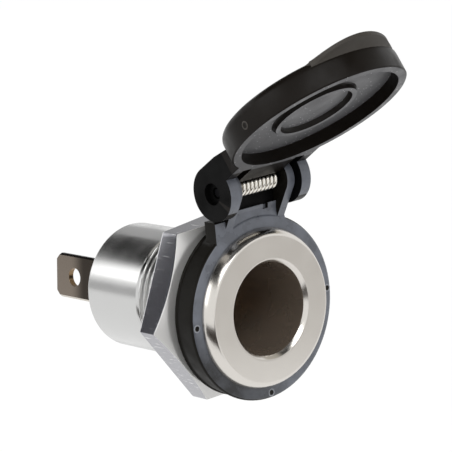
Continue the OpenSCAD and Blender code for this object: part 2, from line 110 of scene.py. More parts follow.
# An arc between two points that bulges to the left of the way from one to the other: it turns by
# the given degrees, so its radius is half the chord over the sine of half the turn
def bulged(start, end, degrees, steps):
    start, end = np.array(start, float), np.array(end, float)
    half = math.radians(degrees) / 2
    chord = end - start
    side = np.array([-chord[1], chord[0]])
    middle = (start + end) / 2 - side / 2 / math.tan(half)
    turn = np.linspace(half, -half, steps + 1)[:, None]
    radius = np.linalg.norm(chord) / 2 / math.sin(half)
    outward = side / np.linalg.norm(side)
    forward = chord / np.linalg.norm(chord)
    return middle + radius * (outward * np.cos(turn) - forward * np.sin(turn))


# A section carried round the Y axis: x = r cos t and z = r sin t, with the radius r and the height y
# given for each row, or for each row and angle
def turned(radius, y, angle):
    return np.stack([radius * np.cos(angle), y + 0 * angle, radius * np.sin(angle)], -1) * mm


# A grid of points becomes quads between neighbours. The last column joins the first, and on a closed
# grid the last row joins the first. Row materials number the finish of each row of quads
def gridPiece(name, points, materials, rowMaterial=None, closed=False):
    rows, columns = points.shape[:2]
    index = np.arange(rows * columns).reshape(rows, columns)
    if closed:
        index = np.vstack([index, index[:1]])
    index = np.hstack([index, index[:, :1]])
    quads = np.stack([index[:-1, :-1], index[:-1, 1:], index[1:, 1:], index[1:, :-1]], -1).reshape(-1, 4)
    mesh = bpy.data.meshes.new(name)
    mesh.from_pydata(points.reshape(-1, 3).tolist(), [], quads.tolist())
    if rowMaterial is not None:
        mesh.polygons.foreach_set("material_index", np.repeat(rowMaterial, columns).astype(np.int32))
    return finishPiece(name, mesh, materials)


# Doubled points are merged, normals are turned outwards, and only creases over the set angle stay sharp
def finishPiece(name, mesh, materials):
    s = meshSettings
    work = bmesh.new()
    work.from_mesh(mesh)
    bmesh.ops.remove_doubles(work, verts=work.verts, dist=s["weld"] * mm)
    bmesh.ops.recalc_face_normals(work, faces=work.faces)
    work.to_mesh(mesh)
    work.free()
    mesh.shade_smooth()
    mesh.set_sharp_from_angle(angle=math.radians(s["crease"]))
    for material in materials:
        mesh.materials.append(material)
    piece = bpy.data.objects.new(name, mesh)
    bpy.context.scene.collection.objects.link(piece)
    return piece


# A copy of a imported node, welded and with its flat faces joined, so that its edges can be bevelled.
# Zones gives each face, from its centre in millimetres and its normal, the number of its material.
# Reshape, where it is given, turns the points in millimetres into where they should be.
# A cut, given as a point and a normal, only parts the faces that it crosses
def softenedNode(node, name, width, materials, zones, reshape=None, cut=None):
    s = meshSettings
    mesh = nodes[node].data.copy()
    mesh.name = name
    mesh.materials.clear()
    work = bmesh.new()
    work.from_mesh(mesh)
    bmesh.ops.remove_doubles(work, verts=work.verts, dist=s["nodeWeld"] * mm)
    bmesh.ops.dissolve_limit(work, angle_limit=math.radians(s["nodeFlat"]), verts=work.verts,
                             edges=work.edges)
    if cut:
        parts = list(work.verts) + list(work.edges) + list(work.faces)
        bmesh.ops.bisect_plane(work, geom=parts, plane_co=Vector(cut[0]) * mm, plane_no=Vector(cut[1]))
    work.to_mesh(mesh)
    work.free()
    if reshape:
        points = reshape(np.array([vertex.co for vertex in mesh.vertices]) / mm)
        mesh.vertices.foreach_set("co", (points * mm).ravel())
        mesh.update()
    mesh.shade_smooth()
    mesh.set_sharp_from_angle(angle=math.radians(s["nodeCrease"]))
    for material in materials:
        mesh.materials.append(material)
    centres = np.array([face.center for face in mesh.polygons]) / mm
    normals = np.array([face.normal for face in mesh.polygons])
    mesh.polygons.foreach_set("material_index", zones(centres, normals).astype(np.int32))
    piece = bpy.data.objects.new(name, mesh)
    bpy.context.scene.collection.objects.link(piece)
    bevel = piece.modifiers.new("softEdge", "BEVEL")
    bevel.width = width * mm
    bevel.segments = s["bevelSegments"]
    bevel.limit_method = "ANGLE"
    bevel.angle_limit = math.radians(s["nodeCrease"])
    bevel.harden_normals = True
    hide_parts(node)
    return piece


# Helpers for materials

# One sRGB hex colour as linear light: each channel by the sRGB curve
def linear(hexColour):
    channels = [int(hexColour[i:i + 2], 16) / 255 for i in (1, 3, 5)]
    return [c / 12.92 if c <= 0.04045 else ((c + 0.055) / 1.055) ** 2.4 for c in channels] + [1.0]


# Adds a node with its settings and its links; an input is a number, a colour or another node's output
def addNode(tree, kind, inputs=None, **settings):
    node = tree.nodes.new(kind)
    for key, value in settings.items():
        setattr(node, key, value)
    for key, value in (inputs or {}).items():
        if isinstance(value, bpy.types.NodeSocket):
            tree.links.new(value, node.inputs[key])
        else:
            node.inputs[key].default_value = value
    return node


# A material with the given values set on its shader's own sockets. Place is the point in the object
def newMaterial(name, **sockets):
    material = bpy.data.materials.new(name)
    material.use_nodes = True
    tree = material.node_tree
    shader = tree.nodes["Principled BSDF"]
    for key, value in sockets.items():
        shader.inputs[key.replace("_", " ")].default_value = value
    place = addNode(tree, "ShaderNodeTexCoord").outputs["Object"]
    return material, tree, shader, place


# Fine grain: noise with one cell to each grain's width lifts the surface by its share of the depth,
# on top of any relief that the surface has already
def addGrain(tree, shader, place, widthMm, depthMm, relief=None):
    noise = addNode(tree, "ShaderNodeTexNoise", {"Vector": place, "Scale": 1 / (widthMm * mm), "Detail": 3.0})
    inputs = {"Height": noise.outputs["Fac"], "Distance": depthMm * mm, "Strength": 1.0}
    if relief is not None:
        inputs["Normal"] = relief
    bump = addNode(tree, "ShaderNodeBump", inputs)
    tree.links.new(bump.outputs[0], shader.inputs["Normal"])


# Uneven gloss: roughness times its low share where the factor is 0.3, rising to its high share at 0.7
def addUnevenGloss(tree, shader, factor, roughness, lowShare, highShare):
    rough = addNode(tree, "ShaderNodeMapRange",
                    {0: factor, 1: 0.3, 2: 0.7, 3: roughness * lowShare, 4: roughness * highShare})
    tree.links.new(rough.outputs[0], shader.inputs["Roughness"])


# Two colours mixed over the surface: the share is 0 where the first shows and 1 where the second does
def addColours(tree, shader, share, first, second):
    mixed = addNode(tree, "ShaderNodeMix", {"Factor": share, 6: linear(first), 7: linear(second)},
                    data_type="RGBA")
    tree.links.new(mixed.outputs[2], shader.inputs["Base Color"])


# Nickel plate on turned brass: a warm white metal, satin from the lathe's fine rings.
# The rings follow y on a cylinder and the radius on a face, so both are added before the noise
def nickelPlate(name, colour, roughness, ringMm, ringDepthMm, grainMm, grainDepthMm, metallic=1.0):
    cloudMm = 4.0
    material, tree, shader, place = newMaterial(name, Metallic=metallic, Base_Color=linear(colour))
    split = addNode(tree, "ShaderNodeSeparateXYZ", {0: place})
    flat = addNode(tree, "ShaderNodeCombineXYZ", {0: split.outputs[0], 1: split.outputs[2]})
    radius = addNode(tree, "ShaderNodeVectorMath", {0: flat.outputs[0]}, operation="LENGTH")
    along = addNode(tree, "ShaderNodeMath", {0: radius.outputs["Value"], 1: split.outputs[1]},
                    operation="ADD")
    rings = addNode(tree, "ShaderNodeTexNoise",
                    {"W": along.outputs[0], "Scale": 1 / (ringMm * mm), "Detail": 2.0},
                    noise_dimensions="1D")
    relief = addNode(tree, "ShaderNodeBump",
                     {"Height": rings.outputs["Fac"], "Distance": ringDepthMm * mm, "Strength": 1.0})
    cloud = addNode(tree, "ShaderNodeTexNoise",
                    {"Vector": place, "Scale": 1 / (cloudMm * mm), "Detail": 2.0})
    addUnevenGloss(tree, shader, cloud.outputs["Fac"], roughness, 0.85, 1.2)
    addGrain(tree, shader, place, grainMm, grainDepthMm, relief.outputs[0])
    return material


# Moulded nylon or phenolic: a fine grain whose gloss comes and goes slowly, as on a moulding that has
# been handled. Where a speck share is given, that share of the cells holds a pale speck of dust
def mouldedPlastic(name, colour, roughness, gloss, grainMm, grainDepthMm, speckShare=0.0, speckMm=0.0,
                   speckColour=""):
    cloudMm = 3.0
    speckCore, speckEdge = 0.1, 0.22
    material, tree, shader, place = newMaterial(name, Base_Color=linear(colour), Specular_IOR_Level=gloss)
    cloud = addNode(tree, "ShaderNodeTexNoise",
                    {"Vector": place, "Scale": 1 / (cloudMm * mm), "Detail": 4.0})
    addUnevenGloss(tree, shader, cloud.outputs["Fac"], roughness, 0.75, 1.25)
    addGrain(tree, shader, place, grainMm, grainDepthMm)
    if speckShare > 0:
        cells = addNode(tree, "ShaderNodeTexVoronoi", {"Vector": place, "Scale": 1 / (speckMm * mm)})
        near = addNode(tree, "ShaderNodeMapRange",
                       {0: cells.outputs["Distance"], 1: speckCore, 2: speckEdge, 3: 1.0, 4: 0.0})
        chosen = addNode(tree, "ShaderNodeSeparateColor", {0: cells.outputs["Color"]})
        few = addNode(tree, "ShaderNodeMath", {0: chosen.outputs[0], 1: speckShare}, operation="LESS_THAN")
        speck = addNode(tree, "ShaderNodeMath", {0: near.outputs[0], 1: few.outputs[0]},
                        operation="MULTIPLY")
        addColours(tree, shader, speck.outputs[0], colour, speckColour)
    return material


paintedLightSizes = {"lean": (0.5, 0, 0.6), "darkAt": -9.5, "lightAt": -4.5, "darkShare": 0.1, "lightShare": 0.85,
               "patch": 2.2, "patchLow": 0.35, "patchHigh": 0.65, "patchSwing": 0.16, "grain": 0.35,
               "grainDepth": 0.006}


# The front of the collar and hinge: bluish black nylon painted greyer as the light and sheen that fall on
# its front faces. The painted light fades towards the low left, along the sum of half of x and 0.6 of z, and
# in patches
def nylonWithPaintedLight(name, darkColour, lightColour, roughness):
    s = paintedLightSizes
    material, tree, shader, place = newMaterial(name, Specular_IOR_Level=0.5)
    slant = addNode(tree, "ShaderNodeVectorMath", {0: place, 1: s["lean"]}, operation="DOT_PRODUCT")
    fade = addNode(tree, "ShaderNodeMapRange",
                   {0: slant.outputs["Value"], 1: s["darkAt"] * mm, 2: s["lightAt"] * mm,
                    3: s["darkShare"], 4: s["lightShare"]}, interpolation_type="SMOOTHSTEP")
    patches = addNode(tree, "ShaderNodeTexNoise",
                      {"Vector": place, "Scale": 1 / (s["patch"] * mm), "Detail": 4.0})
    swing = addNode(tree, "ShaderNodeMapRange",
                    {0: patches.outputs["Fac"], 1: s["patchLow"], 2: s["patchHigh"],
                     3: -s["patchSwing"], 4: s["patchSwing"]})
    share = addNode(tree, "ShaderNodeMath", {0: fade.outputs[0], 1: swing.outputs[0]},
                    operation="ADD", use_clamp=True)
    addColours(tree, shader, share.outputs[0], darkColour, lightColour)
    addUnevenGloss(tree, shader, patches.outputs["Fac"], roughness, 0.7, 1.3)
    addGrain(tree, shader, place, s["grain"], s["grainDepth"])
    return material


# Tinned brass blade: warm grey at its tip and browner towards the barrel.
# The share of the tip's colour rises smoothly with y, from the dark place to the light one
def tinnedBlade(name, lightColour, darkColour, roughness, darkMm, lightMm):
    grainMm, grainDepthMm = 0.15, 0.0006
    material, tree, shader, place = newMaterial(name, Metallic=1.0, Roughness=roughness)
    split = addNode(tree, "ShaderNodeSeparateXYZ", {0: place})
    share = addNode(tree, "ShaderNodeMapRange",
                    {0: split.outputs[1], 1: darkMm * mm, 2: lightMm * mm, 3: 0.0, 4: 1.0},
                    interpolation_type="SMOOTHSTEP")
    addColours(tree, shader, share.outputs[0], darkColour, lightColour)
    addGrain(tree, shader, place, grainMm, grainDepthMm)
    return material


scratchSizes = {"width": 0.22, "stretch": (1, 0.12, 1), "turn": (0.1, 0, 0.2), "depth": 0.004,
                "thinFrom": 0.62, "thinTo": 0.74}


# Milled and plated nut: dull grey with fine straight scratches, painted pale as glints where they catch
# the light. The noise is drawn out along y, and only its peaks show
def scratchedNickel(name, colour, scratchGlintColour, roughness):
    s = scratchSizes
    material, tree, shader, place = newMaterial(name, Metallic=1.0, Roughness=roughness,
                                                Base_Color=linear(colour))
    stretched = addNode(tree, "ShaderNodeMapping",
                        {"Vector": place, "Scale": s["stretch"], "Rotation": s["turn"]})
    streaks = addNode(tree, "ShaderNodeTexNoise",
                      {"Vector": stretched.outputs[0], "Scale": 1 / (s["width"] * mm), "Detail": 4.0})
    thin = addNode(tree, "ShaderNodeMapRange",
                   {0: streaks.outputs["Fac"], 1: s["thinFrom"], 2: s["thinTo"], 3: 0.0, 4: 1.0})
    addColours(tree, shader, thin.outputs[0], colour, scratchGlintColour)
    bump = addNode(tree, "ShaderNodeBump",
                   {"Height": streaks.outputs["Fac"], "Distance": s["depth"] * mm, "Strength": 1.0})
    tree.links.new(bump.outputs[0], shader.inputs["Normal"])
    return material


# Nickel over turned brass: the flange mirrors softly, the barrel sparkles faintly from its rougher
# turning, and the nut's satin front is pale with no sharp reflection
flangeNickel = nickelPlate("nickelPlateOnBrass", "#d9d5cf", 0.2, 0.35, 0.0004, 0.3, 0.0005)
barrelNickel = nickelPlate("satinNickelBarrel", "#cccccb", 0.19, 0.3, 0.0008, 0.16, 0.0016)
nutNickel = nickelPlate("satinNickelNut", "#e2e1df", 0.36, 0.25, 0.001, 0.12, 0.001, metallic=0.35)
nutFlat = scratchedNickel("milledNutFlat", "#a4a4a8", "#f0f0f0", 0.14)
# The bore's wall is tarnished and oily, so it looks brown and only glows where light reaches in
boreBrown = nickelPlate("tarnishedBoreWall", "#9a8c7e", 0.26, 0.5, 0.001, 0.9, 0.002, metallic=0.6)
# Black nylon: matt and warm at the sides, painted greyer in front as light falling on it, painted near black
# inside the hinge as shade
collarNylon = mouldedPlastic("mouldedNylonCollar", "#15130f", 0.5, 0.13, 0.18, 0.004)
collarPaintedLight = nylonWithPaintedLight("nylonFacePaintedLight", "#17181b", "#72767f", 0.3)
deepNylon = mouldedPlastic("nylonInShadow", "#040404", 0.6, 0.1, 0.2, 0.004)
lidNylon = mouldedPlastic("mouldedNylonLid", "#120d08", 0.4, 0.16, 0.14, 0.006)
# The lid's inside is greyed partly by dust and partly as painted light from below, with pale specks of dust
# drawn coarser than real so that they show
lidInside = mouldedPlastic("dustyNylonInsidePaintedLight", "#565658", 0.5, 0.5, 0.16, 0.006, 0.3, 0.42, "#d8d8d8")
# Paler nylon painted as highlights: on the raised rings of the ejector and gate marks, and in the thumb's
# scoop under the lid's tab
markRingHighlight = mouldedPlastic("nylonMarkRingHighlight", "#8d9096", 0.35, 0.5, 0.18, 0.004)
lidPaintedHighlight = mouldedPlastic("nylonLidPaintedHighlight", "#3d3934", 0.5, 0.3, 0.14, 0.004)
# Drawn wire and pin: bright plated coils over a pin painted dark as shade in the hinge
springWire = nickelPlate("nickelPlatedSpringWire", "#e8e4dc", 0.16, 0.2, 0.0006, 0.1, 0.001)
pinSteel = nickelPlate("drawnSteelPin", "#1e1e20", 0.4, 0.2, 0.001, 0.1, 0.001)
# Brass: dull yellow contacts, duller in the punched holes; the blades' edges are painted dark as shade or
# bright as highlights
contactBrass = nickelPlate("turnedBrassContact", "#b3a184", 0.3, 0.2, 0.001, 0.12, 0.001)
holeBrass = nickelPlate("bareBrassHole", "#8a7358", 0.3, 0.2, 0.001, 0.12, 0.001)
bladeEdgeShade = nickelPlate("bladeEdgePaintedShade", "#25201b", 0.3, 0.3, 0.0004, 0.15, 0.0006)
bladeEdgeHighlight = nickelPlate("bladeEdgePaintedHighlight", "#cfc9c0", 0.24, 0.3, 0.0004, 0.15, 0.0006)
# Phenolic: brown and slightly glossy at the bottom of the bore, black at the rear
holderPhenolic = mouldedPlastic("mouldedPhenolicHolder", "#8a7b6c", 0.4, 0.5, 0.2, 0.004)
rearPhenolic = mouldedPlastic("mouldedPhenolicRear", "#1c1b1a", 0.45, 0.5, 0.2, 0.004)
print("materials made:", len(bpy.data.materials))


# Turned body

bodySizes = {
    "flangeR": 10.6, "faceR": 9.75, "shoulderTurn": 34.0, "shoulderRows": 12, "collarT": 3.6,
    "threadR": 9.0, "threadStart": 0.3, "threadL": 11.8, "pitch": 1.0, "threadDepth": 0.6134,
    "crestShare": 0.125, "flankShare": 0.625, "crestSoft": 0.4, "runOutHigh": 0.15, "runOutSlope": 1.2,
    "barrelR": 8.55, "barrelFoot": 0.2, "boreR": 6.1, "mouthCut": 0.48, "boreDepth": 15.0, "boreRows": 24,
    "holderSeatR": 6.35, "rearSeatR": 7.4, "rearMouthR": 6.8, "rearSeatL": 5.0, "rearLipL": 0.5,
    "rearRound": 0.4, "fineRound": 0.08, "steps": 160, "rowsPerTurn": 20,
}


# The thread's height is 1 on the crest and 0 at the root. It depends on how far the point lies from
# the crest's line, which climbs one pitch in each turn, and the flanks are straight but for a little
# smoothing
def threadHeight(y, angle):
    s = bodySizes
    phase = (y / s["pitch"] + angle / (2 * math.pi)) % 1
    away = np.abs(phase - 0.5) * 2
    flank = 1 - np.clip((away - s["crestShare"]) / s["flankShare"], 0, 1)
    return flank * flank * (3 - 2 * flank) * s["crestSoft"] + flank * (1 - s["crestSoft"])


# One section is carried all round the Y axis: from the rear lip over the barrel, along the thread, over
# the flange's curved shoulder and flat face, and down the bore. Short runs beside the corners keep the
# flat face's shading flat. The thread's rows then get a radius for each angle
def makeBody():
    s = bodySizes
    low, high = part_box("socket_body")
    front, rear = low.y / mm, high.y / mm
    fine = s["fineRound"]
    foot = s["barrelFoot"]
    threadRows = np.arange(s["threadStart"], s["threadL"], s["pitch"] / s["rowsPerTurn"])
    outside = roundedLine([
        (s["rearSeatR"], rear - s["rearLipL"], 0), (s["rearMouthR"], rear - s["rearLipL"], fine),
        (s["rearMouthR"], rear, fine), (s["barrelR"], rear, s["rearRound"]),
        (s["barrelR"], s["threadL"] + s["threadR"] - s["barrelR"], fine),
        (s["barrelR"] + foot, s["threadL"] + foot, 0)])
    thread = np.stack([np.full(len(threadRows), s["threadR"]), threadRows[::-1]], -1)
    seat = roundedLine([
        (s["threadR"], 0, 0), (s["threadR"], -s["collarT"], fine), (s["flangeR"] - fine, -s["collarT"], 0)])
    shoulder = bulged((s["flangeR"], -s["collarT"] - fine), (s["faceR"] + fine, front + fine / 2),
                      s["shoulderTurn"], s["shoulderRows"])
    mouth = roundedLine([
        (s["faceR"] - fine, front, 0), (s["faceR"] - 3 * fine, front, 0),
        (s["boreR"] + s["mouthCut"] + 3 * fine, front, 0), (s["boreR"] + s["mouthCut"], front, fine),
        (s["boreR"], front + s["mouthCut"], fine), (s["boreR"], front + s["boreDepth"], 0)])
    flange = np.vstack([seat, shoulder, mouth])
    inside = np.array([
        (s["holderSeatR"], front + s["boreDepth"]), (s["holderSeatR"], rear - s["rearSeatL"]),
        (s["rearSeatR"], rear - s["rearSeatL"])])
    bore = np.linspace(flange[-2], flange[-1], s["boreRows"])[1:]
    profile = np.vstack([outside, thread, flange[:-1], bore, inside])
    angle = np.linspace(0, 2 * math.pi, s["steps"], endpoint=False)
    points = turned(profile[:, :1], profile[:, 1:], angle)
    # The thread is cut into its blank and runs out where the plain barrel begins
    first = len(outside)
    last = first + len(thread)
    y = thread[:, 1:]
    runOut = np.clip((s["threadL"] - y) / s["pitch"], 0, 1)
    root = s["barrelR"] + (s["threadR"] - s["threadDepth"] - s["barrelR"]) * runOut
    crest = np.minimum(s["threadR"], s["barrelR"] + s["runOutHigh"] + s["runOutSlope"] * (s["threadL"] - y))
    points[first:last] = turned(root + (crest - root) * threadHeight(y, angle), y, angle)
    # Rows up to the thread take the barrel's finish, rows past the mouth the bore's
    rowMaterial = np.ones(len(profile), int)
    rowMaterial[:last] = 0
    rowMaterial[last + len(flange) - 2:] = 2
    body = gridPiece("turned_body", points, [barrelNickel, flangeNickel, boreBrown], rowMaterial, closed=True)
    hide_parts("socket_body")
    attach(body, "socket")
    return body


turnedBody = makeBody()
print("body turned:", len(turnedBody.data.polygons), "faces")


# Hexagon nut

nutSizes = {"acrossFlats": 23.0, "turn": 5.6, "chamferAngle": 30.0, "chamferInset": 0.05, "boreR": 9.05,
            "lead": 0.37, "cornerCut": 0.0375, "edgeRound": 0.12, "rowShare": 0.12, "stepsPerSide": 28}


# The outline is a hexagon with its corners cut slightly: the side lies at the apothem over the cosine
# of the angle from the flat's middle. That angle follows the square root of the step, which puts more
# columns near the corners. For each direction the section runs from the bore over the front, down the
# chamfer's cone to the side, and back over the rear to the bore. Extra rows beside each edge keep the
# shading flat between them
def makeNut():
    s = nutSizes
    low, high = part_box("hex_nut")
    front, rear = low.y / mm, high.y / mm
    apothem = s["acrossFlats"] / 2
    spread = np.linspace(-1, 1, s["stepsPerSide"] + 1)[:-1]
    local = np.radians(30) * np.sign(spread) * np.abs(spread) ** 0.5
    angle = np.concatenate([local + math.radians(s["turn"] + 30 + 60 * i) for i in range(6)])
    side = apothem / np.cos(np.concatenate([local] * 6))
    side = np.minimum(side, apothem / math.cos(math.radians(30)) - s["cornerCut"])
    flatR = apothem - s["chamferInset"]
    slope = math.tan(math.radians(s["chamferAngle"]))
    wide = side - flatR
    near, far = s["rowShare"], 1 - s["rowShare"]
    e = s["edgeRound"]
    inner = s["boreR"] + s["lead"]
    rows = [
        (s["boreR"], front + s["lead"]), (inner, front), (inner + e, front),
        (flatR - 2 * e, front), (flatR - e / 2, front),
        (flatR + wide * near, front + wide * near * slope), (flatR + wide * far, front + wide * far * slope),
        (side - e / 4, front + wide * slope - e / 8), (side, front + wide * slope + e / 2),
        (side, front + wide * slope + e * 1.5),
        (side, rear - e * 2), (side, rear - e), (side - e * 0.3, rear - e * 0.3),
        (side - e, rear), (side - e * 2, rear),
        (inner + e, rear), (inner, rear), (s["boreR"], rear - s["lead"])]
    radius = np.stack([np.broadcast_to(row[0], angle.shape) for row in rows])
    y = np.stack([np.broadcast_to(row[1], angle.shape) for row in rows])
    rowMaterial = np.zeros(len(rows), int)
    rowMaterial[8:11] = 1
    nut = gridPiece("hexagon_nut", turned(radius, y, angle), [nutNickel, nutFlat], rowMaterial, closed=True)
    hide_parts("hex_nut")
    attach(nut, "nut")
    return nut


hexagonNut = makeNut()
print("nut made:", len(hexagonNut.data.polygons), "faces")


# Collar and lid

mouldSizes = {
    "hingeFront": 3.65, "hingeUp": 16.5, "openAngle": 124.0,
    "collarR": 12.2, "collarEdge": 0.1, "taper": 0.42, "rimNear": 0.02, "rimBack": 0.2, "frontTilt": 0.85,
    "saddleUp": 10.0, "saddleTilt": 0.2, "lugInX": 5.3,
    "lidReach": 16.5, "lidR": 12.0, "lidEdge": 0.12, "insideTilt": 0.8, "rootCut": 11.4,
    "ridgeLow": 0.3, "ridgeHigh": 1.2, "ridgeR": 8.5, "ridgeCut": 0.35,
    "earInX": 5.0, "earReach": 4.2, "earTilt": 0.72, "holeR": 1.46,
    "scoopRise": 2.85, "scoopFrom": 6.0, "scoopHalfX": 9.0, "scoopTilt": 0.3,
    "webBack": 0.4, "webFront": 3.0, "webLow": 13.3, "webHigh": 15.05, "webHalfX": 3.85, "webRound": 0.15,
}


# A point's place on the lid: how far it rises from the rim's plane, how far beyond the lid's middle it
# lies, away from the hinge, and both ways as directions. Shut, rise is -Y and beyond is -Z, and the
# open lid has turned by the open angle about the hinge
def lidPlace(points):
    s = mouldSizes
    turn = math.radians(s["openAngle"] - 90)
    rising = np.array([0, math.sin(turn), math.cos(turn)])
    beyond = np.array([0, -math.cos(turn), math.sin(turn)])
    away = points - np.array([0, -s["hingeFront"], s["hingeUp"]])
    return away @ rising, away @ beyond - s["lidReach"], rising, beyond


# The collar's front and the saddle take the nylon painted greyer as the light that falls on them, and the
# sides the
# matt nylon: zone 1 is where the normal leans to the front
def collarZones(centres, normals):
    s = mouldSizes
    forward = normals[:, 1] < -s["frontTilt"]
    between = (centres[:, 2] > s["saddleUp"]) & (np.abs(centres[:, 0]) < s["lugInX"])
    saddle = between & (normals[:, 1] < -s["saddleTilt"])
    return np.where(forward | saddle, 1, 0)


# The collar's side tapers towards the panel, as the mould's draft makes it: the points of its rear rim
# move in towards the Y axis
def collarReshape(points):
    s = mouldSizes
    radius = np.hypot(points[:, 0], points[:, 2])
    rim = (np.abs(radius - s["collarR"]) < s["rimNear"]) & (points[:, 1] > -s["rimBack"])
    points[rim] *= np.array([1, 0, 1]) * (1 - s["taper"] / s["collarR"]) + np.array([0, 1, 0])
    return points


# The lid's inside is dusty and greyed as painted light, the ears' front edges are painted greyer as lit, like
# the collar's front, the bottoms of the pin's holes are painted near black as shadow and the thumb's scoop,
# under the tab, is painted paler as a highlight
def lidZones(centres, normals):
    s = mouldSizes
    x = centres[:, 0]
    rise, beyond, rising = lidPlace(centres)[:3]
    hinge = np.hypot(rise, beyond + s["lidReach"])
    inside = (np.hypot(x, beyond) < s["lidR"]) & (beyond > -s["rootCut"])
    scoop = (rise > s["scoopRise"]) & (beyond > s["scoopFrom"]) & (np.abs(x) < s["scoopHalfX"])
    zones = np.zeros(len(centres))
    zones[(normals @ rising < -s["insideTilt"]) & inside] = 1
    zones[(np.abs(x) > s["earInX"]) & (hinge < s["earReach"]) & (normals[:, 1] < -s["earTilt"])] = 2
    zones[hinge < s["holeR"]] = 3
    zones[scoop & (normals @ rising < s["scoopTilt"])] = 4
    return zones


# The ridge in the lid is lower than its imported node, as in the photograph: the points of its top move
# by the cut towards the floor that it stands on
def lidReshape(points):
    s = mouldSizes
    rise, beyond, rising = lidPlace(points)[:3]
    top = (rise > s["ridgeLow"]) & (rise < s["ridgeHigh"]) & (np.hypot(points[:, 0], beyond) < s["ridgeR"])
    points[top] += rising * s["ridgeCut"]
    return points


collar = softenedNode("hinge_collar", "moulded_collar", mouldSizes["collarEdge"], [collarNylon, collarPaintedLight],
                      collarZones, collarReshape)
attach(collar, "socket")
# The middle of the lid's rim. The lid is cut across near the hinge, so that its inside parts from the root
originRise, originBeyond, lidUp, lidAway = lidPlace(np.zeros(3))
lidMiddle = -lidUp * originRise - lidAway * originBeyond
lid = softenedNode("lid", "moulded_lid", mouldSizes["lidEdge"],
                   [lidNylon, lidInside, collarPaintedLight, deepNylon, lidPaintedHighlight], lidZones, lidReshape,
                   cut=(lidMiddle - lidAway * mouldSizes["rootCut"], lidAway))
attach(lid, "lid")


# The ejector pins' round marks on the collar's front and one on the lid's side

markSizes = {"collarR": 11.45, "collarFront": 3.6, "gateRise": 1.43, "gateBeyond": 0.5, "ringR": 0.48,
             "ringWide": 0.13, "ringHigh": 0.035, "ringFall": 0.8, "dotHigh": 0.004, "sunk": 0.01,
             "steps": 24}


# A thin raised ring round a dark flat: its section is carried round the normal of the surface that it
# lies on, starting from any direction across that normal
def makeMark(name, centre, normal, body, materials):
    s = markSizes
    profile = np.array([
        (0, s["dotHigh"]), (s["ringR"] - s["ringWide"], s["dotHigh"]),
        (s["ringR"] - s["ringWide"] / 2, s["ringHigh"]), (s["ringR"], s["ringHigh"] * s["ringFall"]),
        (s["ringR"] + s["ringWide"] / 2, -s["sunk"])])
    across = np.cross(normal, [0.3, 0.5, 0.8])
    across /= np.linalg.norm(across)
    along = np.cross(normal, across)
    angle = np.linspace(0, 2 * math.pi, s["steps"], endpoint=False)[:, None]
    ring = across * np.cos(angle) + along * np.sin(angle)
    points = centre + profile[:, :1, None] * ring + profile[:, 1:, None] * normal
    mark = gridPiece(name, points * mm, materials, np.array([0, 1, 1, 1]))
    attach(mark, body)


# Three marks stand on one circle on the collar's front, right, low and left, and one on the lid's side; each
# ring is painted paler as a highlight
def makeMarks():
    s = markSizes
    for i, degrees in enumerate((0, -90, 180)):
        a = math.radians(degrees)
        centre = np.array([s["collarR"] * math.cos(a), -s["collarFront"], s["collarR"] * math.sin(a)])
        makeMark(f"ejector_mark_{i + 1}", centre, np.array([0, -1.0, 0]), "socket",
                 [collarNylon, markRingHighlight])
    side = np.array([-1.0, 0, 0])
    place = lidMiddle + side * mouldSizes["lidR"] + lidUp * s["gateRise"] + lidAway * s["gateBeyond"]
    makeMark("gate_mark", place, side, "lid", [lidNylon, lidPaintedHighlight])


makeMarks()


# A web between the lugs closes the collar's back behind the spring, coloured near black as painted shade:
# a block with its two upper edges rounded, whose section is run from one lug to the other and closed to a
# point at each end
def makeWeb():
    s = mouldSizes
    back, front, low, high = -s["webBack"], -s["webFront"], s["webLow"], s["webHigh"]
    section = roundedLine([(back, low, 0), (front, low, 0), (front, high, s["webRound"]),
                           (back, high, s["webRound"])], closed=True)
    along = np.array([-s["webHalfX"], s["webHalfX"]])
    rows = [np.stack([np.full(len(section), x), section[:, 0], section[:, 1]], -1) for x in along]
    middle = [np.tile([x, (back + front) / 2, (low + high) / 2], (len(section), 1)) for x in along]
    web = gridPiece("hinge_web", np.stack([middle[0], rows[0], rows[1], middle[1]]) * mm, [deepNylon])
    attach(web, "socket")


makeWeb()
print("collar and lid softened")


# Torsion spring

springSizes = {"outerD": 2.63, "wireD": 0.57, "pitch": 0.69, "fixedLeg": 4.1, "lidLeg": 3.0, "legRows": 6,
               "stepsPerCoil": 36, "sides": 12}


